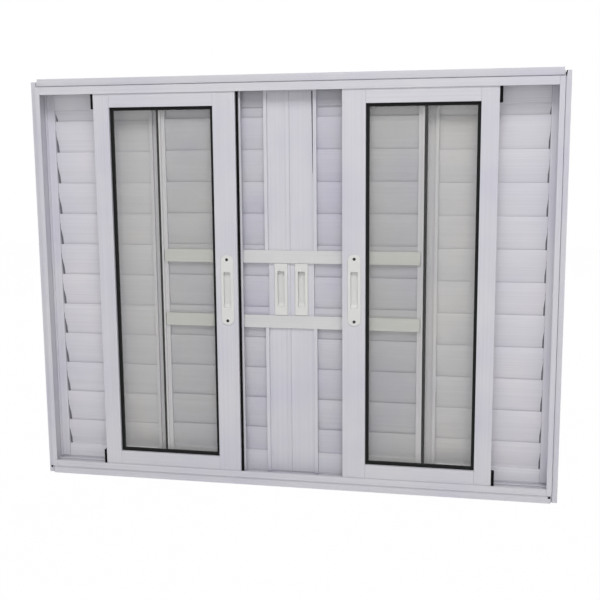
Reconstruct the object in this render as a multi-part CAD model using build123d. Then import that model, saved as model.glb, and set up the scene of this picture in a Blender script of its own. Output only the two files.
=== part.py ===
from build123d import *
import os

os.makedirs("parts", exist_ok=True)

# Louvred sliding shutter window with six leaves, seen from the room, in millimetres.
# X runs along the width, the room side faces -Y, Z is up and the sill stands on Z = 0.
# Depths are counted from the front edge of the frame toward the outside.
# Every leaf is drawn on the left of the middle and mirrored for the right.

# Outer frame
frame_width = 1500.0
frame_height = 1170.0
frame_wall = 2.5
box_side = 16.0
box_end = 23.0
box_setback = 12.0
sill_setback = 4.0
ridge_side = 14.0
ridge_top_band = 22.0
ridge_foot_band = 18.0
jamb_web_inset = 12.0
sill_channel = 12.5
head_channel = 20.0
trim_groove_width = 3.0
side_groove_width = 2.0
trim_groove_depth = 5.0
jamb_drop = 8.0
corner_hole = 7.0
corner_hole_top = 20.0
corner_slit_width = 5.0
drain_width = 30.0
drain_height = 5.0
drain_lift = 0.5
drain_spacing = 420.0

# Three tracks, one behind the other
track_pitch = 25.0
leaf_depth = 20.0
first_leaf_face = 3.5
rib_stem = 2.0
rib_bead = 4.0
rib_height = 10.0
guide_fin = 2.0
fin_recess = 2.0

# Clearances
fit_gap = 0.3
slip_gap = 0.1
head_gap = 4.0
foot_gap = 3.0
rear_gap = 2.0
rib_slot_gap = 1.5
cut_margin = 1.0

# Glass leaves
glass_leaf_width = 415.0
glass_outer_stile = 46.5
glass_meeting_stile = 64.0
glass_edge_left = 144.0
glass_edge_right = 155.0
glass_top_cover = 38.0
glass_bottom_cover = 39.5
profile_wall = 2.0
glass_thickness = 4.0
gasket_wall = 2.0
gasket_show = 9.0
gasket_bite = 6.0
gasket_setback = 8.0
brush_width = 7.0
brush_reach = 6.0
interlock_reach = 11.5
guide_block = 8.5
guide_block_height = 42.0

# Louvred leaves
louvre_leaf_edge = 375.0
louvre_outer_stile = 16.0
web_recess = 6.0
outer_lip = 5.0
slat_lip = 9.5
meeting_edge_left = -2.0
meeting_edge_right = 2.4
meeting_web_left = 60.5
meeting_web_right = 70.0
overlap_lip = 11.5
overlap_raise = 1.0
top_cover = 42.0
sliding_bottom_cover = 56.0
fixed_bottom_cover = 35.0
edge_seal_width = 8.0
edge_seal_front = 4.0
edge_seal_rear = 3.0
fixed_outer_stile = 27.0
fixed_inner_lip = 407.5
fixed_inner_edge = 340.0

# Slats
slat_pitch = 90.0
sliding_short_slat = 29.0
fixed_short_slat = 31.0
sliding_slat_tuck = 19.8
fixed_slat_tuck = 14.0
slat_metal = 1.5
slat_overlap = 7.0
slat_lean = 8.0
slat_tip = 1.5
slat_belly = 1.0
slat_belly_height = 16.0
slat_fall_height = 52.0
slat_facets = 7
slat_setback = 1.5

# Mid rails and pulls
mid_rail_height = 36.0
mid_rail_gap = 150.0
mid_rail_lip_gap = 3.0
louvre_pull_centre = 574.5
glass_pull_centre_left = 572.5
glass_pull_centre_right = 579.5
pull_width = 37.5
glass_pull_height = 200.0
glass_pull_corner = 17.0
glass_pull_plate = 3.0
louvre_pull_corner = 1.5
louvre_pull_plate = 5.0
louvre_pull_gap = 0.5
louvre_pull_inset_left = 8.0
louvre_pull_inset_right = 13.2
glass_pull_inset_left = 30.5
glass_pull_inset_right = 33.5
pull_bevel = 1.5
cup_width = 20.0
cup_height = 104.0
cup_depth = 6.5
cup_corner = 3.0
cup_ramp = 14.0
ramp_angle = 60.0
pull_screw = 4.2
pull_screw_head = 8.4
pull_screw_spacing = 175.0

# Places worked out from the sizes above
frame_depth = first_leaf_face + 2 * track_pitch + leaf_depth + rear_gap + frame_wall
half_width = frame_width / 2
opening_half = half_width - box_side - ridge_side
opening_bottom = box_end + ridge_foot_band
opening_top = frame_height - box_end - ridge_top_band
floor_top = opening_bottom - sill_channel
track_top = floor_top + rib_height
web_under = opening_top + head_channel
leaf_bottom = track_top + fit_gap
leaf_top = web_under - head_gap
leaf_foot = floor_top + foot_gap
jamb_web = opening_half + jamb_web_inset


def depth_y(depth):
    return depth - frame_depth / 2


def leaf_face(track):
    return first_leaf_face + track * track_pitch


def track_centre(track):
    return leaf_face(track) + leaf_depth / 2


def rectangle(a_start, a_end, b_start, b_end):
    return [(a_start, b_start), (a_end, b_start), (a_end, b_end), (a_start, b_end)]


# Chamber that starts deeper beyond b_step, where the trim groove lies before it
def stepped(a_start, a_step, a_end, b_start, b_step, b_end):
    outline = [(a_start, b_start), (a_end, b_start), (a_end, b_end)]
    return outline + [(a_step, b_end), (a_step, b_step), (a_start, b_step)]


# Section with its holes, given as depth and height, drawn out along X
def along_x(outline, x_start, x_end, holes=()):
    flat = Polygon(*[(depth_y(d), z) for d, z in outline], align=None)
    for hole in holes:
        flat -= Polygon(*[(depth_y(d), z) for d, z in hole], align=None)
    return extrude(Plane.YZ.offset(x_start) * flat, amount=x_end - x_start)


# Section with its holes, given as place along the width and depth, drawn out along Z
def along_z(outline, z_start, z_end, holes=()):
    flat = Polygon(*[(x, depth_y(d)) for x, d in outline], align=None)
    for hole in holes:
        flat -= Polygon(*[(x, depth_y(d)) for x, d in hole], align=None)
    return extrude(Plane.XY.offset(z_start) * flat, amount=z_end - z_start)


def block(x_start, x_end, d_start, d_end, z_start, z_end):
    return along_z(rectangle(x_start, x_end, d_start, d_end), z_start, z_end)


# Flat plate or hole with rounded corners, drawn out along the depth from its middle in X and Z
def plate(middle, width, height, corner, d_start, d_end):
    flat = Plane.XZ * (Pos(*middle) * RectangleRounded(width, height, corner))
    return Pos(0, depth_y(d_end), 0) * extrude(flat, amount=d_end - d_start)


def drill(middle, radius, d_start, d_end):
    flat = Plane.XZ * (Pos(*middle) * Circle(radius))
    return Pos(0, depth_y(d_end), 0) * extrude(flat, amount=d_end - d_start)


def save(name, shape, mirrored=False):
    if mirrored:
        shape = mirror(shape, about=Plane.YZ)
    export_step(shape, "parts/" + name + ".step")


# Sill: a hollow box with a front ridge, a rear upstand and three beaded track ribs
def sill():
    outline = [(0, box_end), (sill_setback, box_end), (sill_setback, 0), (frame_depth, 0)]
    outline += [(frame_depth, opening_bottom), (frame_depth - frame_wall, opening_bottom)]
    outline += [(frame_depth - frame_wall, floor_top), (frame_wall, floor_top)]
    outline += [(frame_wall, opening_bottom), (0, opening_bottom)]
    chamber = rectangle(sill_setback + frame_wall, frame_depth - frame_wall,
                        frame_wall, floor_top - frame_wall)
    flat = Polygon(*[(depth_y(d), z) for d, z in outline], align=None)
    flat -= Polygon(*[(depth_y(d), z) for d, z in chamber], align=None)
    stem = rib_height - rib_bead / 2
    for track in range(3):
        centre = depth_y(track_centre(track))
        flat += Pos(centre, floor_top + stem / 2) * Rectangle(rib_stem, stem)
        flat += Pos(centre, floor_top + stem) * Circle(rib_bead / 2)
    length = 2 * (jamb_web - fit_gap)
    body = extrude(Plane.YZ.offset(-length / 2) * flat, amount=length)
    for number in (-1, 0, 1):
        middle = number * drain_spacing
        body -= block(middle - drain_width / 2, middle + drain_width / 2, frame_depth - 2 * frame_wall,
                      frame_depth + cut_margin, floor_top + drain_lift, floor_top + drain_height)
    body -= corner_cut(length / 2 - corner_hole, length / 2 + cut_margin, sill_setback)
    return cope(body, box_end, opening_bottom)


# Hole through the front wall of the box near a lower corner
def corner_cut(x_start, x_end, setback):
    return block(x_start, x_end, setback - cut_margin, setback + frame_wall + cut_margin,
                 corner_hole_top - corner_hole, corner_hole_top)


# Head: the same box turned over, with two guide fins between the tracks
def head():
    ridge_top = frame_height - box_end
    outline = [(0, opening_top), (frame_wall, opening_top), (frame_wall, web_under)]
    for track in (0, 1):
        centre = (leaf_face(track) + leaf_depth + leaf_face(track + 1)) / 2
        before = centre - guide_fin / 2
        behind = centre + guide_fin / 2
        outline += [(before, web_under), (before, opening_top + fin_recess)]
        outline += [(behind, opening_top + fin_recess), (behind, web_under)]
    outline += [(frame_depth - frame_wall, web_under), (frame_depth - frame_wall, opening_top)]
    outline += [(frame_depth, opening_top), (frame_depth, frame_height), (box_setback, frame_height)]
    groove_back = box_setback + trim_groove_depth
    groove_top = ridge_top + trim_groove_width
    outline += [(box_setback, groove_top), (groove_back, groove_top)]
    outline += [(groove_back, ridge_top), (0, ridge_top)]
    chamber = stepped(box_setback + frame_wall, groove_back + frame_wall, frame_depth - frame_wall,
                      frame_height - frame_wall, groove_top + frame_wall, web_under + frame_wall)
    body = along_x(outline, -jamb_web + fit_gap, jamb_web - fit_gap, (chamber,))
    return cope(body, opening_top, ridge_top)


# The lips of the head and sill stop at the lips of the jambs
def cope(body, z_start, z_end):
    for side in (-1, 1):
        start, end = sorted((side * (opening_half - fit_gap), side * (jamb_web + cut_margin)))
        low = z_start - cut_margin
        high = z_end + cut_margin
        body -= block(start, end, -cut_margin, box_setback, low, high)
        body -= block(start, end, frame_depth - frame_wall - fit_gap, frame_depth + cut_margin,
                      low, high)
    return body


# Left jamb: a hollow box with a front ridge, a trim groove and a rear lip, open at both ends.
# One of the two has a slit at its top, the other a hole at its foot
def jamb(slit):
    top = frame_height - jamb_drop
    ridge_left = -half_width + box_side
    groove_left = ridge_left - side_groove_width
    groove_back = box_setback + trim_groove_depth
    outline = [(-half_width, box_setback), (groove_left, box_setback), (groove_left, groove_back)]
    outline += [(ridge_left, groove_back), (ridge_left, 0), (-opening_half, 0)]
    outline += [(-opening_half, frame_wall), (-jamb_web, frame_wall), (-jamb_web, frame_depth - frame_wall)]
    outline += [(-opening_half, frame_depth - frame_wall), (-opening_half, frame_depth)]
    outline += [(-half_width, frame_depth)]
    wide = (box_setback + frame_wall, groove_back + frame_wall, frame_depth - frame_wall)
    chamber = [(-half_width + frame_wall, wide[0]), (groove_left - frame_wall, wide[0])]
    chamber += [(groove_left - frame_wall, wide[1]), (-jamb_web - frame_wall, wide[1])]
    chamber += [(-jamb_web - frame_wall, wide[2]), (-half_width + frame_wall, wide[2])]
    body = along_z(outline, 0, top, (chamber,))
    rear = frame_depth + cut_margin
    for z_start, z_end in ((-cut_margin, box_end), (frame_height - box_end, frame_height)):
        body -= block(-jamb_web - slip_gap, 0, -cut_margin, rear, z_start, z_end)
        body -= block(-half_width, 0, -cut_margin, box_setback, z_start, z_end)
    if slit:
        behind = groove_back + frame_wall + cut_margin
        return body - block(ridge_left - corner_slit_width, ridge_left, box_setback - cut_margin,
                            behind, frame_height - box_end, top + cut_margin)
    hole_left = (groove_left - half_width - corner_hole) / 2
    return body - corner_cut(hole_left, hole_left + corner_hole, box_setback)


# One glass leaf by its meeting edge; only the left one has the interlock lip with its brush
def glass_leaf(meeting_edge, pull_inset, pull_centre, interlock):
    face = leaf_face(0)
    back = face + leaf_depth
    right = -meeting_edge
    left = right - glass_leaf_width
    pane_left = left + glass_outer_stile
    pane_right = right - glass_meeting_stile
    pane_top = opening_top - glass_top_cover
    pane_bottom = opening_bottom + glass_bottom_cover
    groove_front = face + gasket_setback
    groove_back = groove_front + 2 * gasket_wall + glass_thickness
    bite = gasket_bite + gasket_wall
    brush_back = groove_front + brush_width

    inner = (face + profile_wall, back - profile_wall)
    bite_left = pane_left - bite
    outline = [(left, face), (pane_left, face), (pane_left, groove_front), (bite_left, groove_front)]
    outline += [(bite_left, groove_back), (pane_left, groove_back), (pane_left, back), (left, back)]
    hollow = rectangle(left + profile_wall, bite_left - profile_wall, *inner)
    outer = along_z(outline, leaf_bottom, leaf_top, (hollow,))

    rear_edge = right - interlock_reach
    if interlock:
        rear_edge = right + interlock_reach
    outline = [(pane_right, face), (right, face), (right, brush_back), (rear_edge, brush_back)]
    outline += [(rear_edge, back)]
    outline += [(pane_right, back), (pane_right, groove_back), (pane_right + bite, groove_back)]
    outline += [(pane_right + bite, groove_front), (pane_right, groove_front)]
    hollow = rectangle(pane_right + bite + profile_wall, right - interlock_reach - profile_wall, *inner)
    meeting = along_z(outline, leaf_bottom, leaf_top, (hollow,))

    rail_left = pane_left + fit_gap
    rail_right = pane_right - fit_gap
    outline = [(face, pane_top), (groove_front, pane_top), (groove_front, pane_top + bite)]
    outline += [(groove_back, pane_top + bite), (groove_back, pane_top), (back, pane_top)]
    outline += [(back, leaf_top), (face, leaf_top)]
    hollow = rectangle(*inner, pane_top + bite + profile_wall, leaf_top - profile_wall)
    top = along_x(outline, rail_left, rail_right, (hollow,))
    outline = foot_outline(track_centre(0), face, back)
    outline += [(back, pane_bottom), (groove_back, pane_bottom), (groove_back, pane_bottom - bite)]
    outline += [(groove_front, pane_bottom - bite), (groove_front, pane_bottom), (face, pane_bottom)]
    hollow = rectangle(*inner, leaf_bottom + profile_wall, pane_bottom - bite - profile_wall)
    bottom = along_x(outline, rail_left, rail_right, (hollow,))

    seat = bite - fit_gap
    slack = slip_gap
    gasket = block(pane_left - seat, pane_right + seat, groove_front + slack, groove_back - slack,
                   pane_bottom - seat, pane_top + seat)
    gasket -= block(pane_left + gasket_show, pane_right - gasket_show, face, back,
                    pane_bottom + gasket_show, pane_top - gasket_show)
    glass_front = groove_front + gasket_wall
    glass_back = glass_front + glass_thickness
    gasket -= block(pane_left - gasket_bite, pane_right + gasket_bite, glass_front, glass_back,
                    pane_bottom - gasket_bite, pane_top + gasket_bite)
    edge = gasket_bite - slack
    pane = block(pane_left - edge, pane_right + edge, glass_front + slack, glass_back - slack,
                 pane_bottom - edge, pane_top + edge)

    middle = (right - pull_inset, pull_centre)
    pull = pull_shape(middle, face, glass_pull_height, glass_pull_corner, glass_pull_plate)
    plate_front = face - glass_pull_plate
    for side in (-1, 1):
        hole = (middle[0], middle[1] + side * pull_screw_spacing / 2)
        pull -= drill(hole, pull_screw / 2, plate_front - cut_margin, face + cut_margin)
        pull -= countersink(hole, plate_front)
    meeting -= cup_space(middle, face)

    start = left + slack - guide_block
    seals = block(start, left - slack, *inner, leaf_bottom, pane_bottom)
    seals += block(start, left - slack, *inner, opening_top - guide_block_height, leaf_top)
    if interlock:
        seals += block(right + slack, right + brush_reach, groove_front, brush_back - slack,
                       leaf_bottom, leaf_top)
    return {"outer_stile": outer, "meeting_stile": meeting, "top_rail": top, "bottom_rail": bottom,
            "gasket": gasket, "pane": pane, "pull": pull, "seals": seals}


# Foot of a bottom rail: a leg behind the rib of its track, and one before it where there is room
def foot_outline(centre, front, back):
    slot = rib_bead / 2 + rib_slot_gap
    outline = [(front, leaf_bottom)]
    if front + profile_wall < centre - slot:
        outline = [(front, leaf_foot), (centre - slot, leaf_foot), (centre - slot, leaf_bottom)]
    return outline + [(centre + slot, leaf_bottom), (centre + slot, leaf_foot), (back, leaf_foot)]


# A pull: a bevelled plate on the stile with a finger cup sunk into it
def pull_shape(middle, face, height, corner, thickness):
    front = face - thickness
    body = plate(middle, pull_width, height, corner, front, face - slip_gap)
    rim = body.faces().sort_by(Axis.Y)[0].outer_wire().edges()
    body = chamfer(rim, pull_bevel)
    body += cup_block(middle, profile_wall, face - 2 * slip_gap, face + cup_depth + profile_wall)
    return body - cup_hollow(middle, front, face + cup_depth)


# The cup's outline grown by a wall all round
def cup_block(middle, wall, d_start, d_end):
    width = cup_width + 2 * wall
    height = cup_height + 2 * wall
    return plate(middle, width, height, cup_corner + wall, d_start, d_end)


# Inside of the cup: a flat floor with a round ramp up to the plate at its lower end
def cup_hollow(middle, front, floor):
    bottom = middle[1] - cup_height / 2
    start = depth_y(front - cut_margin)
    floor_y = depth_y(floor)
    run = Line((floor_y, bottom + cup_ramp), (floor_y, bottom + cup_height))
    ramp = JernArc(run @ 0, (0, -1), cup_ramp, -ramp_angle)
    lip = Line(ramp @ 1, (start, (ramp @ 1).Y))
    ends = Polyline(lip @ 1, (start, bottom + cup_height), run @ 1)
    side = make_face(Curve() + [run, ramp, lip, ends])
    hollow = extrude(Plane.YZ.offset(middle[0] - cup_width / 2) * side, amount=cup_width)
    return hollow & cup_block(middle, 0, front - cut_margin, floor)


# Cone for a screw head, widest at the front of the plate
def countersink(middle, front):
    depth = (pull_screw_head - pull_screw) / 2
    cone = Plane.XZ * Cone(pull_screw / 2, pull_screw_head / 2, depth)
    return Pos(middle[0], depth_y(front) + depth / 2, middle[1]) * cone


def cup_space(middle, face):
    wall = profile_wall + fit_gap
    return cup_block(middle, wall, face - cut_margin, face + cup_depth + wall)


# Section of a rolled slat: it bulges toward the room under its top edge, then falls back to a foot
# that hangs behind the top of the next slat
def slat_section(front, top, pitch):
    foot = top - pitch - slat_overlap
    y = depth_y(front)
    curve = Bezier((y + slat_tip, top), (y - slat_belly, top - slat_belly_height),
                   (y, top - slat_fall_height), (y + slat_lean, foot))
    front_side = [curve @ (number / slat_facets) for number in range(slat_facets + 1)]
    rear_side = [point + (slat_metal, 0, 0) for point in reversed(front_side)]
    return Polygon(*[(point.X, point.Y) for point in front_side + rear_side], align=None)


def slat(front, top, pitch, x_start, x_end):
    return extrude(Plane.YZ.offset(x_start) * slat_section(front, top, pitch), amount=x_end - x_start)


# Slats of one louvred leaf: a short one under the top rail, then whole ones that fill the height
# and tuck the foot of the lowest behind the bottom rail
def slats(left, right, face, rail_under, rail_over, short, tuck):
    front = face + web_recess + profile_wall + slat_setback
    first = rail_under - short
    count = round((first - rail_over) / slat_pitch)
    pitch = (first - rail_over + tuck) / count
    x_start = left + fit_gap
    x_end = right - fit_gap
    group = slat(front, first + pitch, pitch, x_start, x_end)
    cut = (x_start - cut_margin, x_end + cut_margin, face, face + leaf_depth)
    group -= block(*cut, rail_under - fit_gap, rail_under + pitch)
    for number in range(count):
        group += slat(front, first - number * pitch, pitch, x_start, x_end)
    return group - block(*cut, leaf_bottom, rail_over + fit_gap)


# Hollow outer stile with its lip, and hollow inner stile with the lip that covers the slat ends
def louvre_frame(track, outer_edge, outer_stile, inner_edge, inner_web, rail_over):
    face = leaf_face(track)
    web = face + web_recess
    back = face + leaf_depth
    slat_left = outer_edge + outer_stile
    rail_under = opening_top - top_cover

    outline = [(outer_edge, face), (outer_edge + outer_lip, face), (outer_edge + outer_lip, web)]
    outline += [(slat_left, web), (slat_left, back), (outer_edge, back)]
    inner = (web + profile_wall, back - profile_wall)
    hollow = rectangle(outer_edge + profile_wall, slat_left - profile_wall, *inner)
    outer = along_z(outline, leaf_bottom, leaf_top, (hollow,))

    lip_edge = inner_web - slat_lip
    outline = [(lip_edge, face), (inner_web, face), (inner_web, web), (inner_edge, web)]
    outline += [(inner_edge, back), (inner_web, back), (inner_web, web + profile_wall)]
    outline += [(lip_edge, web + profile_wall)]
    hollow = rectangle(inner_web + profile_wall, inner_edge - profile_wall, *inner)
    inner_stile = along_z(outline, leaf_bottom, leaf_top, (hollow,))

    rail_left = slat_left + fit_gap
    rail_right = inner_web - fit_gap
    start = web + profile_wall
    inner = (start + profile_wall, back - profile_wall)
    hollow = rectangle(*inner, rail_under + profile_wall, leaf_top - profile_wall)
    top = along_x(rectangle(start, back, rail_under, leaf_top), rail_left, rail_right, (hollow,))
    outline = foot_outline(track_centre(track), start, back) + [(back, rail_over), (start, rail_over)]
    hollow = rectangle(*inner, leaf_bottom + profile_wall, rail_over - profile_wall)
    bottom = along_x(outline, rail_left, rail_right, (hollow,))
    return {"outer_stile": outer, "inner_stile": inner_stile, "top_rail": top, "bottom_rail": bottom}


def fixed_leaf():
    outer_edge = -opening_half - (jamb_web_inset - 2 * fit_gap)
    rail_over = opening_bottom + fixed_bottom_cover
    inner_web = -fixed_inner_lip + slat_lip / 2
    parts = louvre_frame(2, outer_edge, fixed_outer_stile, -fixed_inner_edge, inner_web, rail_over)
    parts["slats"] = slats(outer_edge + fixed_outer_stile, inner_web, leaf_face(2),
                           opening_top - top_cover, rail_over, fixed_short_slat, fixed_slat_tuck)
    return parts


# Sliding louvred leaf: the same frame with two mid rails that replace the inner lip between them
def sliding_leaf(meeting_edge, meeting_web, pull_inset, overlap):
    face = leaf_face(1)
    web = face + web_recess
    outer_edge = -louvre_leaf_edge
    inner_edge = -meeting_edge
    inner_web = -meeting_web
    rail_over = opening_bottom + sliding_bottom_cover
    parts = louvre_frame(1, outer_edge, louvre_outer_stile, inner_edge, inner_web, rail_over)
    parts["slats"] = slats(outer_edge + louvre_outer_stile, inner_web, face, opening_top - top_cover,
                           rail_over, sliding_short_slat, sliding_slat_tuck)
    low = louvre_pull_centre - mid_rail_gap / 2 - mid_rail_height
    high = louvre_pull_centre + mid_rail_gap / 2
    if overlap:
        parts["inner_stile"] += block(inner_edge - overlap_lip, inner_edge, web - overlap_raise,
                                      web + profile_wall, leaf_bottom, leaf_top)
    lip_start = inner_web - slat_lip - cut_margin
    between = (low - fit_gap, high + mid_rail_height + fit_gap)
    parts["inner_stile"] -= block(lip_start, inner_edge + cut_margin, face - cut_margin, web, *between)
    parts["inner_stile"] -= block(lip_start, inner_web, face - cut_margin,
                                  web + profile_wall + cut_margin, *between)

    start = outer_edge + outer_lip + mid_rail_lip_gap
    rear = web - slip_gap
    bar = [(face, 0), (rear, 0), (rear, profile_wall), (face + profile_wall, profile_wall)]
    bar += [(face + profile_wall, mid_rail_height - profile_wall), (rear, mid_rail_height - profile_wall)]
    bar += [(rear, mid_rail_height), (face, mid_rail_height)]
    rails = along_x([(d, z + low) for d, z in bar], start, inner_edge)
    rails += along_x([(d, z + high) for d, z in bar], start, inner_edge)
    parts["mid_rails"] = rails

    middle = (inner_edge - pull_inset - pull_width / 2, louvre_pull_centre)
    pull_height = mid_rail_gap - 2 * louvre_pull_gap
    parts["pull"] = pull_shape(middle, web, pull_height, louvre_pull_corner, louvre_pull_plate)
    parts["inner_stile"] -= cup_space(middle, web)
    parts["edge_seal"] = block(outer_edge - edge_seal_width, outer_edge - slip_gap,
                               face + edge_seal_front, face + leaf_depth - edge_seal_rear,
                               leaf_bottom, leaf_top)
    return parts


save("sill", sill())
save("head", head())
save("left_jamb", jamb(False))
save("right_jamb", jamb(True), True)

leaves = {
    "left_glass": glass_leaf(glass_edge_left, glass_pull_inset_left, glass_pull_centre_left, True),
    "right_glass": glass_leaf(glass_edge_right, glass_pull_inset_right, glass_pull_centre_right, False),
    "left_louvre": sliding_leaf(meeting_edge_left, meeting_web_left, louvre_pull_inset_left, True),
    "right_louvre": sliding_leaf(meeting_edge_right, meeting_web_right, louvre_pull_inset_right, False),
    "left_fixed": fixed_leaf(),
    "right_fixed": fixed_leaf(),
}
for leaf, pieces in leaves.items():
    for piece, shape in pieces.items():
        save(leaf + "_" + piece, shape, leaf.startswith("right"))
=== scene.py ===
import math

import bpy
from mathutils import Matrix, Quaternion, Vector


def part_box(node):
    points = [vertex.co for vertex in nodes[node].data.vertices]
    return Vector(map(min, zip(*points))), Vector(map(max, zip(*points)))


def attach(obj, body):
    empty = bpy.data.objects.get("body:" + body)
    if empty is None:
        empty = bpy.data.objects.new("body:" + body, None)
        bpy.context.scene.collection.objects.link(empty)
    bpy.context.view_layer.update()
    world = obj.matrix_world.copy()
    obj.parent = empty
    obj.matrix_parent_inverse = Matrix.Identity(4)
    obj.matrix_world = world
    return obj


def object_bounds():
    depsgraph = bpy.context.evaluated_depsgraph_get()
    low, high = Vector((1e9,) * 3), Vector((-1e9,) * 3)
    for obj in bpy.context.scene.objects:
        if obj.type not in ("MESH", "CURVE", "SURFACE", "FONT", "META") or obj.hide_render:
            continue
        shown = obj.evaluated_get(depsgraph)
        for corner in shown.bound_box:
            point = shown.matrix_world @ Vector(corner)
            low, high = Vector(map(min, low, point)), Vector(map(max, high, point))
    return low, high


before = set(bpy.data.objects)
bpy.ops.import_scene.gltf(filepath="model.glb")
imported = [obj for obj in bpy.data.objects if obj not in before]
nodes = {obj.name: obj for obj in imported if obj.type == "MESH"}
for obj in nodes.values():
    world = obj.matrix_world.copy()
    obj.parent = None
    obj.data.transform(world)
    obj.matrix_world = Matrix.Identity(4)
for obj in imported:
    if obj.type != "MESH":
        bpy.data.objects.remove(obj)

# Louvred sliding shutter window, dressed for the render. Metres, room side toward -Y, Z up.

cad_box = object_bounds()

# Camera, right of the window's middle and above its mid height
camera_place = Vector((0.5671, -2.6259, 0.9667))
camera_aim = Vector((0.0281, 0.0, 0.5439))
camera_roll = math.radians(-0.46)
camera_lens = 57.4
camera_sensor = 36.0

# Light, as strengths that leave a colour about as it is written
room_strength = 0.44
light_aim = Vector((0.0, 0.0, 0.6))
key_strength = 129.0
key_place = Vector((0.75, -3.4, 4.55))
key_size = (2.4, 2.0)
fill_strength = 24.5
fill_place = Vector((1.0, -4.4, 1.3))
fill_size = (6.4, 1.8)
rear_strength = 90.0
rear_place = Vector((-0.6, 5.0, 3.0))
rear_size = (2.4, 1.6)

# Floor under the window: the share of it that shows as plain white, and its mottle in millimetres
floor_size = 14.0
floor_veil = 0.985
floor_mottle = 700.0

# Coats, plastics and glass: refraction, and how finely softened edges are sampled
refraction = 1.5
edge_samples = 4

# Powder coat: die lines, clouds and orange peel in millimetres, the rest in metres and shares
die_line_width = 3.5
die_line_length = 900.0
die_line_span = (0.3, 0.7)
die_line_tones = (0.955, 1.03)
coat_cloud = 190.0
coat_cloud_span = (0.35, 0.65)
coat_peel = 2.2
coat_peel_strength = 0.12
coat_peel_depth = 0.0002
coat_roughness = (0.38, 0.5)
coat_shine = 0.35
coat_edge = 0.0009
bar_edge = 0.0002

# Angle from which an edge of a rolled slat or a moulded pull stays sharp
sharp_angle = math.radians(22)

# Moulded plastic and rubber
plastic_cloud = 45.0
plastic_roughness_spread = 0.06
plastic_grain_strength = 0.2
plastic_edge = 0.0008

# Glass: a film of haze on its front, in millimetres and as a share of what is seen
glass_film = 160.0
glass_haze = (0.085, 0.115)
glass_roughness = 0.12

# Plated steel of the screws
zinc_cloud = 2.0
zinc_metal = 0.5
zinc_roughness = 0.6

# Direction that the screws and bristles face
toward_room = (0.0, -1.0, 0.0)

# Screws of the two glass pulls: how far they stand from the pull's middle, and their pan heads
pull_screw_reach = 0.0875
pull_screw_radius = 0.0054
pull_screw_rise = 0.0009
pull_screw_sink = 0.0005
pull_screw_recess = 0.0011
pull_screw_segments = 24
pull_screw_rings = 12

# Pile of the left meeting strip: bristles over the face of its black backing
pile_margin = 0.0004
pile_width = 0.0052
pile_setback = 0.0080
bristle_length = 0.0011
bristle_radius = 0.00022
bristle_lean = 0.35
bristle_turn = 3.0
shortest_bristle = 0.7
lean_seed = 7
length_seed = 11
bristles_wide = 5
bristles_high = 420

# Painted shade at the outer ends of the fixed slats: grey wedges where the shade between slat end and stile
# falls; the shares are of their full width and the slat's height
shade_wedge_widths = {"left": 0.0060, "right": 0.0042}
shade_wedge_tip_share = 0.12
shade_wedge_share = 0.6
shade_wedge_rise = 0.0005

# Tongues between the bars of the two sliding louvred leaves
bar_height = 0.036
tongue_thickness = 0.0015

# Seal between the meeting stiles of the two sliding louvred leaves
meeting_seal_setback = 0.0060
meeting_seal_thickness = 0.0060

# Painted shadow beside the lip of the right sliding louvred leaf, a thin black wedge: from its stile's right
# side and the window's top
lip_shadow_inset = 0.0116
lip_shadow_drop = 0.0465
lip_shadow_length = 0.2235
lip_shadow_foot_width = 0.0005
lip_shadow_top_width = 0.0026
lip_shadow_thickness = 0.0007

# Thickness of that leaf's pull plate, which lies on the same face as the painted shadow
pull_plate = 0.0050

# Rubber blocks in the upper corners, from the window's sides, its front and its top
block_setback = 0.0126
block_thickness = 0.0035
right_block_inset = 0.0150
right_block_width = 0.0034
right_block_lean = 0.0050
right_block_drop = 0.0085
right_block_height = 0.0175
left_block_inset = 0.0132
left_block_width = 0.0038
left_block_drop = 0.0220
left_block_height = 0.0045

# Decimals to which places are compared, and how near a slat's end a vertex counts as on it
vertex_digits = 6
height_digits = 5
end_tolerance = 1e-4


def linear(colour):
    """sRGB hex colour as the linear RGBA that shaders take."""
    channels = [int(colour[start:start + 2], 16) / 255 for start in (1, 3, 5)]
    curve = [c / 12.92 if c <= 0.04045 else ((c + 0.055) / 1.055) ** 2.4 for c in channels]
    return (*curve, 1.0)


def add(tree, kind, inputs=None, **settings):
    """Adds one node with its settings. Inputs are values, or sockets to link from."""
    node = tree.nodes.new(kind)
    for name, value in settings.items():
        setattr(node, name, value)
    for socket, value in (inputs or {}).items():
        if isinstance(value, bpy.types.NodeSocket):
            tree.links.new(value, node.inputs[socket])
        else:
            node.inputs[socket].default_value = value
    return node


def new_material(name):
    """An empty material, its node tree, and the place on the object that its textures follow."""
    material = bpy.data.materials.new(name)
    material.use_nodes = True
    tree = material.node_tree
    tree.nodes.clear()
    return material, tree, add(tree, "ShaderNodeTexCoord").outputs["Object"]


def per_metre(millimetres):
    """Noise scale whose features measure that many millimetres."""
    return 1000.0 / millimetres


def noise(tree, place, scale, detail=2.0):
    """Grey value of a noise over a place."""
    node = add(tree, "ShaderNodeTexNoise", {"Vector": place, "Scale": scale, "Detail": detail})
    return node.outputs["Fac"]


def spread(tree, value, low, high, span=(0.0, 1.0)):
    """A value that runs over the span, spread from low to high."""
    node = add(tree, "ShaderNodeMapRange", {
        "Value": value, "From Min": span[0], "From Max": span[1], "To Min": low, "To Max": high})
    return node.outputs["Result"]


def mix_colours(tree, share, first, second, **settings):
    """Mix of two colours, with the share that the second one takes."""
    inputs = {"Factor": share, "A": first, "B": second}
    return add(tree, "ShaderNodeMix", inputs, data_type="RGBA", **settings).outputs["Result"]


def calculate(tree, operation, first, second):
    """Result of a math operation on two values."""
    return add(tree, "ShaderNodeMath", {0: first, 1: second}, operation=operation).outputs["Value"]


def set_surface(tree, shader):
    """Makes a shader the surface of the material."""
    add(tree, "ShaderNodeOutputMaterial", {"Surface": shader})


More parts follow.
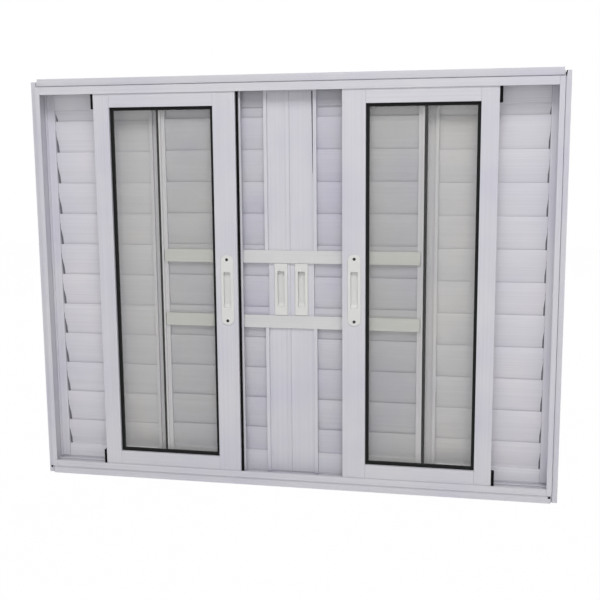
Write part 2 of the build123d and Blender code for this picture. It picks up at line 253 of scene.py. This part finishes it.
def mixed_surface(tree, share, first, second):
    """Surface of two shaders, with the share that the second one takes."""
    set_surface(tree, add(tree, "ShaderNodeMixShader", {"Fac": share, 1: first, 2: second}).outputs["Shader"])


def grained_surface(tree, colour, roughness, shine, grain, strength, depth, edge):
    """Opaque surface with a fine grain in relief and softened edges."""
    round_edge = add(tree, "ShaderNodeBevel", {"Radius": edge}, samples=edge_samples)
    relief = add(tree, "ShaderNodeBump", {
        "Height": grain, "Strength": strength, "Distance": depth, "Normal": round_edge.outputs["Normal"]})
    shader = add(tree, "ShaderNodeBsdfPrincipled", {
        "Base Color": colour, "Roughness": roughness, "Normal": relief.outputs["Normal"],
        "IOR": refraction, "Specular IOR Level": shine})
    set_surface(tree, shader.outputs["BSDF"])


def powder_coat(name, pale, deep, run, edge=coat_edge):
    """Polyester powder coat on extruded aluminium: satin, a fine orange peel, and faint die lines
    that run along the profile. run is the profile's direction as (x, y, z) shares of 1."""
    material, tree, place = new_material(name)
    stretch = [per_metre(die_line_length * share + die_line_width * (1 - share)) for share in run]
    along = add(tree, "ShaderNodeMapping", {"Vector": place, "Scale": stretch}).outputs["Vector"]
    lines = noise(tree, along, 1.0, detail=3.0)
    cloud = noise(tree, place, per_metre(coat_cloud))
    peel = noise(tree, place, per_metre(coat_peel))

    body_share = spread(tree, cloud, 0.0, 1.0, coat_cloud_span)
    body = mix_colours(tree, body_share, linear(deep), linear(pale))
    streak = spread(tree, lines, *die_line_tones, die_line_span)
    colour = mix_colours(tree, 1.0, body, streak, blend_type="MULTIPLY")
    gloss = spread(tree, peel, *coat_roughness)
    grained_surface(tree, colour, gloss, coat_shine, peel, coat_peel_strength, coat_peel_depth, edge)
    return material


def moulded_plastic(name, pale, deep, roughness, shine, grain, depth):
    """Injection moulded plastic or rubber: one even colour with a little cloud in it and a fine
    spark-eroded grain, its size in millimetres and its depth in metres."""
    material, tree, place = new_material(name)
    cloud = noise(tree, place, per_metre(plastic_cloud), detail=3.0)
    spark = noise(tree, place, per_metre(grain))
    colour = mix_colours(tree, cloud, linear(deep), linear(pale))
    gloss = spread(tree, cloud, roughness - plastic_roughness_spread, roughness + plastic_roughness_spread)
    grained_surface(tree, colour, gloss, shine, spark, plastic_grain_strength, depth, plastic_edge)
    return material


def float_glass(name, tint, veil_colour):
    """Clear float glass: light passes to what is behind, under a faint grey veil on the front face
    that carries a soft reflection."""
    material, tree, place = new_material(name)
    film = noise(tree, place, per_metre(glass_film), detail=4.0)
    haze = spread(tree, film, *glass_haze)
    inside = add(tree, "ShaderNodeNewGeometry").outputs["Backfacing"]
    share = calculate(tree, "MULTIPLY", haze, calculate(tree, "SUBTRACT", 1.0, inside))
    through = add(tree, "ShaderNodeBsdfTransparent", {"Color": linear(tint)})
    veil = add(tree, "ShaderNodeBsdfPrincipled", {
        "Base Color": linear(veil_colour), "Roughness": glass_roughness, "IOR": refraction})
    mixed_surface(tree, share, through.outputs["BSDF"], veil.outputs["BSDF"])
    return material


def zinc_steel(name, deep, pale):
    """Black zinc plated steel: dull dark metal with a rough cast to it."""
    material, tree, place = new_material(name)
    cloud = noise(tree, place, per_metre(zinc_cloud), detail=3.0)
    colour = mix_colours(tree, cloud, linear(deep), linear(pale))
    shader = add(tree, "ShaderNodeBsdfPrincipled", {
        "Base Color": colour, "Metallic": zinc_metal, "Roughness": zinc_roughness})
    set_surface(tree, shader.outputs["BSDF"])
    return material


def seen_share(tree):
    """1 for what the camera sees, straight, in a reflection or through glass, and 0 for lighting."""
    ray = add(tree, "ShaderNodeLightPath").outputs
    straight = calculate(tree, "MAXIMUM", ray["Is Camera Ray"], ray["Is Glossy Ray"])
    return calculate(tree, "MAXIMUM", straight, ray["Is Transmission Ray"])


def backdrop_paint(name, floor_colour, veil):
    """White studio sweep: white to the camera, in reflections and through glass, with a trace of the
    window's shadow left on it."""
    material, tree, place = new_material(name)
    share = calculate(tree, "MULTIPLY", seen_share(tree), veil)
    mottle = noise(tree, place, per_metre(floor_mottle))
    colour = mix_colours(tree, mottle, linear(floor_colour), linear("#FFFFFF"))
    matt = add(tree, "ShaderNodeBsdfDiffuse", {"Color": colour})
    glow = add(tree, "ShaderNodeEmission", {"Color": linear("#FFFFFF"), "Strength": 1.0})
    mixed_surface(tree, share, matt.outputs["BSDF"], glow.outputs["Emission"])
    return material


# Finishes of the real window. The white coat and the slat enamel also come in paler and deeper copies that
# stand in for light and shade: the paler copies are painted light, the deeper ones painted shade
level = (1, 0, 0)
plumb = (0, 0, 1)
frame_upright = powder_coat("white_powder_coat_uprights", "#CDCCD1", "#C6C5CF", run=plumb)
frame_level = powder_coat("white_powder_coat_rails", "#CDCCD1", "#C8C7D0", run=level)
# Paler copies of the white coat, painted light: the fixed leaves' stiles and rails and the sliding louvred
# leaves' outer stiles, lifted where they sit deep or behind glass
paler_lit_upright_paint = powder_coat("white_powder_coat_fixed_stiles_painted_light", "#DAD8DE", "#D3D1DB", run=plumb)
paler_lit_rail_paint = powder_coat("white_powder_coat_fixed_rails_painted_light", "#E2E1E6", "#DCDBE2", run=level)
# Deeper copy of the white coat, painted shade: the head's shadow on the sliding louvred leaves' top rails
deeper_shaded_rail_paint = powder_coat("white_powder_coat_louvre_rails_painted_shade", "#B0AFB5", "#A9A8B2", run=level)
# One slat enamel in two copies: the paler one on the fixed slats is painted light, the deeper one on the
# sliding slats painted shade
paler_lit_slat_paint = powder_coat("white_baked_enamel_fixed_slats_painted_light", "#D6D4D9", "#D0CFD7", run=level)
deeper_shaded_slat_paint = powder_coat("white_baked_enamel_slats_painted_shade", "#C3C2C8", "#BCBBC7", run=level)
bar_paint = powder_coat("white_bar_coat", "#CFCFD0", "#CACACB", run=level, edge=bar_edge)
pull_plastic = moulded_plastic(
    "warm_white_moulded_nylon", "#D8D8D6", "#D2D2D0", roughness=0.34, shine=0.4, grain=0.8, depth=0.00006)
seal_plastic = moulded_plastic(
    "black_pile_and_polypropylene", "#0E0E0F", "#070708", roughness=0.85, shine=0.12, grain=0.6, depth=0.0002)
# Grey nylon of the meeting seal, also used for the painted shade wedges at the fixed slats' ends
grey_seal_and_painted_shade = moulded_plastic(
    "grey_nylon_seal_and_painted_shade", "#76767C", "#6A6A71", roughness=0.8, shine=0.15, grain=0.8, depth=0.0001)
# Black EPDM of the gaskets and corner blocks, also used for the painted shadow beside the right louvred
# leaf's lip
black_rubber_and_painted_shadow = moulded_plastic(
    "black_epdm_rubber_and_painted_shadow", "#191A1A", "#0D0E0E", roughness=0.7, shine=0.2, grain=1.2, depth=0.0001)
clear_glass = float_glass("clear_float_glass", "#FBFBF9", "#B6B7B5")
screw_steel = zinc_steel("black_zinc_plated_steel", "#1E1E20", "#3A3A3D")

# Finish of a node by how its name ends: the last ending that fits holds, and level pieces fit none
finish_of = {
    "_pane": clear_glass,
    "_gasket": black_rubber_and_painted_shadow,
    "_seal": seal_plastic,
    "_seals": seal_plastic,
    "_pull": pull_plastic,
    "fixed_slats": paler_lit_slat_paint,
    "louvre_slats": deeper_shaded_slat_paint,
    "_mid_rails": bar_paint,
    "_jamb": frame_upright,
    "_stile": frame_upright,
    # Paler coats from here on are painted light; the deeper coat of the louvred top rails is painted shade
    "louvre_outer_stile": paler_lit_upright_paint,
    "fixed_outer_stile": paler_lit_upright_paint,
    "fixed_inner_stile": paler_lit_upright_paint,
    "fixed_top_rail": paler_lit_rail_paint,
    "fixed_bottom_rail": paler_lit_rail_paint,
    "louvre_top_rail": deeper_shaded_rail_paint,
}
for name, node in nodes.items():
    finish = frame_level
    for ending, choice in finish_of.items():
        if name.endswith(ending):
            finish = choice
    node.data.materials.clear()
    node.data.materials.append(finish)
    if name.endswith(("_slats", "_pull")):
        node.data.shade_smooth()
        node.data.set_sharp_from_angle(angle=sharp_angle)


def repeat_tree(name, sizes):
    """A Geometry Nodes tree that takes points, some sizes and a finish, and the sockets that give them."""
    group = bpy.data.node_groups.new(name, "GeometryNodeTree")
    group.interface.new_socket("Geometry", in_out="INPUT", socket_type="NodeSocketGeometry")
    for size in sizes:
        group.interface.new_socket(size, in_out="INPUT", socket_type="NodeSocketFloat")
    group.interface.new_socket("Finish", in_out="INPUT", socket_type="NodeSocketMaterial")
    group.interface.new_socket("Geometry", in_out="OUTPUT", socket_type="NodeSocketGeometry")
    return group, add(group, "NodeGroupInput").outputs


def facing_room(group):
    """Rotation that turns a piece's top toward the room."""
    node = add(group, "FunctionNodeAlignRotationToVector", {"Vector": toward_room}, axis="Z")
    return node.outputs["Rotation"]


def place_on_points(group, given, piece, settings):
    """Puts the piece on every point, makes the copies real, paints them and sends them out."""
    copies = add(group, "GeometryNodeInstanceOnPoints", {
        "Points": given["Geometry"], "Instance": piece, **settings})
    real = add(group, "GeometryNodeRealizeInstances", {"Geometry": copies.outputs["Instances"]})
    painted = add(group, "GeometryNodeSetMaterial", {
        "Geometry": real.outputs["Geometry"], "Material": given["Finish"]})
    add(group, "NodeGroupOutput", {"Geometry": painted.outputs["Geometry"]})


def screw_tree():
    """A pan-head screw with a cross recess on each point of the mesh, its head toward the room."""
    group, given = repeat_tree("pan_head_screws", ("Head Radius", "Head Rise", "Recess Width"))
    radius = given["Head Radius"]
    rise = given["Head Rise"]
    ball = add(group, "GeometryNodeMeshUVSphere", {
        "Segments": pull_screw_segments, "Rings": pull_screw_rings, "Radius": radius})
    squash = add(group, "ShaderNodeCombineXYZ", {
        "X": 1.0, "Y": 1.0, "Z": calculate(group, "DIVIDE", rise, radius)})
    dome = add(group, "GeometryNodeTransform", {
        "Geometry": ball.outputs["Mesh"], "Scale": squash.outputs["Vector"]})
    arm = add(group, "ShaderNodeCombineXYZ", {"X": radius, "Y": given["Recess Width"], "Z": rise})
    lift = add(group, "ShaderNodeCombineXYZ", {"X": 0.0, "Y": 0.0, "Z": rise})
    head = dome.outputs["Geometry"]
    for angle in (0.0, math.pi / 2):
        bar = add(group, "GeometryNodeMeshCube", {"Size": arm.outputs["Vector"]})
        turned = add(group, "GeometryNodeTransform", {
            "Geometry": bar.outputs["Mesh"], "Translation": lift.outputs["Vector"],
            "Rotation": (0.0, 0.0, angle)})
        cut = add(group, "GeometryNodeMeshBoolean", {"Mesh 1": head, "Mesh 2": turned.outputs["Geometry"]},
                  operation="DIFFERENCE", solver="EXACT")
        head = cut.outputs["Mesh"]
    place_on_points(group, given, head, {"Rotation": facing_room(group)})
    return group


def pile_tree():
    """A short bristle on each point of the mesh, leaning a little its own way."""
    group, given = repeat_tree("brush_pile", ("Bristle Length", "Bristle Radius"))
    bristle = add(group, "GeometryNodeMeshCone", {
        "Vertices": 3, "Radius Bottom": given["Bristle Radius"], "Radius Top": 0.0,
        "Depth": given["Bristle Length"]})
    lean = add(group, "FunctionNodeRandomValue", {
        0: (-bristle_lean, -bristle_lean, 0.0), 1: (bristle_lean, bristle_lean, bristle_turn),
        "Seed": lean_seed}, data_type="FLOAT_VECTOR")
    turned = add(group, "FunctionNodeRotateRotation", {
        "Rotation": facing_room(group), "Rotate By": lean.outputs["Value"]}, rotation_space="LOCAL")
    length = add(group, "FunctionNodeRandomValue", {2: shortest_bristle, 3: 1.0, "Seed": length_seed},
                 data_type="FLOAT")
    place_on_points(group, given, bristle.outputs["Mesh"], {
        "Rotation": turned.outputs["Rotation"], "Scale": length.outputs[1]})
    return group


def set_input(modifier, group, name, value):
    """Sets a Geometry Nodes input by the identifier of the socket with that name."""
    for item in group.interface.items_tree:
        if item.item_type == "SOCKET" and item.in_out == "INPUT" and item.name == name:
            modifier[item.identifier] = value


def link_object(name, data):
    """A new object of the scene."""
    piece = bpy.data.objects.new(name, data)
    bpy.context.scene.collection.objects.link(piece)
    return piece


def plain_mesh(name, places, group, settings):
    """Runs a Geometry Nodes tree on points and keeps the result as a plain mesh at the origin."""
    points = bpy.data.meshes.new(name + "_places")
    points.from_pydata(places, [], [])
    seed = link_object(name + "_seed", points)
    modifier = seed.modifiers.new("Repeat", "NODES")
    modifier.node_group = group
    for key, value in settings.items():
        set_input(modifier, group, key, value)
    depsgraph = bpy.context.evaluated_depsgraph_get()
    mesh = bpy.data.meshes.new_from_object(seed.evaluated_get(depsgraph), depsgraph=depsgraph)
    bpy.data.objects.remove(seed)
    return link_object(name, mesh)


# Screws in the pulls of the glass leaves
screws = screw_tree()
for side in ("left", "right"):
    low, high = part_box(side + "_glass_pull")
    middle = (Vector(low) + Vector(high)) / 2
    face = low[1] + pull_screw_sink
    places = [(middle.x, face, middle.z + end * pull_screw_reach) for end in (-1, 1)]
    piece = plain_mesh(side + "_pull_screws", places, screws, {
        "Head Radius": pull_screw_radius, "Head Rise": pull_screw_rise,
        "Recess Width": pull_screw_recess, "Finish": screw_steel})
    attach(piece, "root")

# Pile along the meeting strip of the left glass leaf; every second row is shifted by half a bristle
strip_low, strip_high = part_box("left_glass_seals")
pile_left = strip_high[0] - pile_margin - pile_width
pile_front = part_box("left_glass_meeting_stile")[0][1] + pile_setback
row_height = (strip_high[2] - strip_low[2]) / bristles_high
column_width = pile_width / bristles_wide
pile_places = []
for row in range(bristles_high):
    height = strip_low[2] + (row + 0.5) * row_height
    for column in range(bristles_wide):
        along = pile_left + (column + 0.5 * (row % 2)) * column_width
        pile_places.append((along, pile_front, height))
pile = plain_mesh("left_meeting_strip_pile", pile_places, pile_tree(), {
    "Bristle Length": bristle_length, "Bristle Radius": bristle_radius, "Finish": seal_plastic})
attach(pile, "root")


def mesh_piece(name, corners, faces, finish):
    """A mesh piece of the object from its corners and faces, in one finish."""
    mesh = bpy.data.meshes.new(name)
    mesh.from_pydata(corners, [], faces)
    mesh.materials.append(finish)
    piece = link_object(name, mesh)
    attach(piece, "root")
    return piece


def loose_parts(mesh):
    """Vertex positions of a mesh, one list for each part that hangs together or meets at the same points."""
    parent = {}

    def root_of(key):
        while parent[key] != key:
            parent[key] = parent[parent[key]]
            key = parent[key]
        return key

    keys = [tuple(round(value, vertex_digits) for value in vertex.co) for vertex in mesh.vertices]
    for key in keys:
        parent[key] = key
    for edge in mesh.edges:
        parent[root_of(keys[edge.vertices[0]])] = root_of(keys[edge.vertices[1]])
    parts = {}
    for key in parent:
        parts.setdefault(root_of(key), []).append(Vector(key))
    return list(parts.values())


def end_profile(points, edge_x):
    """Front side of one slat at the end that lies at edge_x, from its foot up, as (z, y) pairs."""
    front = {}
    for point in points:
        if abs(point.x - edge_x) < end_tolerance:
            key = round(point.z, height_digits)
            front[key] = min(front.get(key, point.y), point.y)
    return sorted(front.items())


def shade_wedge_corners(edge_x, inner_x, z, y):
    """Corners of a painted shade wedge at one height: its front edge in front of the slat's face, its rear on
    it.
    """
    return [(edge_x, y - shade_wedge_rise, z), (inner_x, y - shade_wedge_rise, z), (inner_x, y, z), (edge_x, y, z)]


def ring_faces(start):
    """Faces of a block between four corners and the four above them, from the first one's number."""
    faces = [(start, start + 3, start + 2, start + 1), (start + 4, start + 5, start + 6, start + 7)]
    for corner in range(4):
        beside = (corner + 1) % 4
        faces.append((start + corner, start + beside, start + beside + 4, start + corner + 4))
    return faces


# Painted shade at the outer ends of the fixed slats, as grey wedges: full width over the lower half, then
# narrower
for side, sign in (("left", -1), ("right", 1)):
    node = nodes[side + "_fixed_slats"]
    corners = []
    faces = []
    for points in loose_parts(node.data):
        placed = [node.matrix_world @ point for point in points]
        edge_x = max(point.x * sign for point in placed) * sign
        profile = end_profile(placed, edge_x)
        foot = profile[0][0]
        top = profile[-1][0]
        reach = (top - foot) * shade_wedge_share
        for lower, upper in zip(profile, profile[1:]):
            if lower[0] - foot >= reach:
                continue
            faces += ring_faces(len(corners))
            for z, y in (lower, upper):
                taper = 2.0 * (1.0 - (z - foot) / reach)
                width = shade_wedge_widths[side] * max(shade_wedge_tip_share, min(1.0, taper))
                corners += shade_wedge_corners(edge_x, edge_x - sign * width, z, y)
    mesh_piece(side + "_fixed_slat_painted_shade", corners, faces, grey_seal_and_painted_shade)


def slab(name, outline, front, thickness, finish):
    """A flat piece from its outline of four (x, z) corners, its front plane and its thickness."""
    corners = [(x, y, z) for y in (front, front + thickness) for x, z in outline]
    faces = [(0, 1, 2, 3), (7, 6, 5, 4), (0, 4, 5, 1), (1, 5, 6, 2), (2, 6, 7, 3), (3, 7, 4, 0)]
    return mesh_piece(name, corners, faces, finish)


def upright(left, right, low, high, lean=0.0):
    """Outline of a slab between two sides and two heights, its top shifted sideways by lean."""
    return (left, low), (right, low), (right + lean, high), (left + lean, high)


# Tongues that close the joint where the bars of the two sliding louvred leaves meet
bar_low, bar_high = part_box("left_louvre_mid_rails")
joint = (bar_high[0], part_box("right_louvre_mid_rails")[0][0])
for name, base in (("lower_bar_tongue", bar_low[2]), ("upper_bar_tongue", bar_high[2] - bar_height)):
    slab(name, upright(*joint, base, base + bar_height), bar_low[1], tongue_thickness, bar_paint)

# Pile seal in the joint between the meeting stiles of the two sliding louvred leaves
stile_low, stile_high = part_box("left_louvre_inner_stile")
gap = (stile_high[0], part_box("right_louvre_inner_stile")[0][0])
slab("louvre_meeting_seal", upright(*gap, stile_low[2], stile_high[2]),
     stile_low[1] + meeting_seal_setback, meeting_seal_thickness, grey_seal_and_painted_shade)

# Painted shadow of the right sliding louvred leaf's lip: a black wedge on its stile beside the lip, widest
# under the head
lip_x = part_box("right_louvre_inner_stile")[1][0] - lip_shadow_inset
web_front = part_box("right_louvre_pull")[0][1] + pull_plate
lip_shadow_top = cad_box[1][2] - lip_shadow_drop
lip_shadow_foot = lip_shadow_top - lip_shadow_length
lip_shadow_outline = ((lip_x - lip_shadow_foot_width, lip_shadow_foot), (lip_x, lip_shadow_foot),
                (lip_x, lip_shadow_top), (lip_x - lip_shadow_top_width, lip_shadow_top))
slab("right_louvre_lip_painted_shadow", lip_shadow_outline, web_front - lip_shadow_thickness, lip_shadow_thickness,
     black_rubber_and_painted_shadow)

# Rubber blocks in the upper corners, where the head's box meets the boxes of the jambs
block_front = cad_box[0][1] + block_setback
right_end = cad_box[1][0] - right_block_inset
right_top = cad_box[1][2] - right_block_drop
right_outline = upright(right_end - right_block_width, right_end, right_top - right_block_height, right_top,
                        lean=right_block_lean)
slab("upper_right_corner_block", right_outline, block_front, block_thickness, black_rubber_and_painted_shadow)
left_end = cad_box[0][0] + left_block_inset
left_top = cad_box[1][2] - left_block_drop
left_outline = upright(left_end, left_end + left_block_width, left_top - left_block_height, left_top)
slab("upper_left_corner_block", left_outline, block_front, block_thickness, black_rubber_and_painted_shadow)

scene = bpy.context.scene

# Camera
camera_data = bpy.data.cameras.new("camera")
camera_data.lens = camera_lens
camera_data.sensor_width = camera_sensor
camera = link_object("camera", camera_data)
camera_turn = (camera_aim - camera_place).to_track_quat("-Z", "Y")
camera.rotation_mode = "QUATERNION"
camera.rotation_quaternion = camera_turn @ Quaternion((0, 0, 1), camera_roll)
camera.location = camera_place
scene.camera = camera


def area_light(name, place, size, strength):
    """An area light turned toward the middle of the window."""
    data = bpy.data.lights.new(name, "AREA")
    data.shape = "RECTANGLE"
    data.size, data.size_y = size
    data.energy = strength
    light = link_object(name, data)
    light.location = place
    light.rotation_euler = (light_aim - place).to_track_quat("-Z", "Y").to_euler()


area_light("key_light", key_place, key_size, key_strength)
area_light("fill_light", fill_place, fill_size, fill_strength)
area_light("rear_light", rear_place, rear_size, rear_strength)

# Room light: soft grey from all round, and white where the camera or a reflection sees it
world = bpy.data.worlds.new("white_room")
scene.world = world
world.use_nodes = True
room = world.node_tree
room.nodes.clear()
room_level = spread(room, seen_share(room), room_strength, 1.0)
glow = add(room, "ShaderNodeBackground", {"Color": linear("#FFFFFF"), "Strength": room_level})
add(room, "ShaderNodeOutputWorld", {"Surface": glow.outputs["Background"]})

# Floor
half = floor_size / 2
floor_corners = [(-half, -half, 0), (half, -half, 0), (half, half, 0), (-half, half, 0)]
floor_mesh = bpy.data.meshes.new("floor")
floor_mesh.from_pydata(floor_corners, [], [(0, 1, 2, 3)])
floor = link_object("floor", floor_mesh)
floor.data.materials.append(backdrop_paint("white_studio_sweep", "#F4F4F4", floor_veil))

scene.view_settings.view_transform = "Standard"
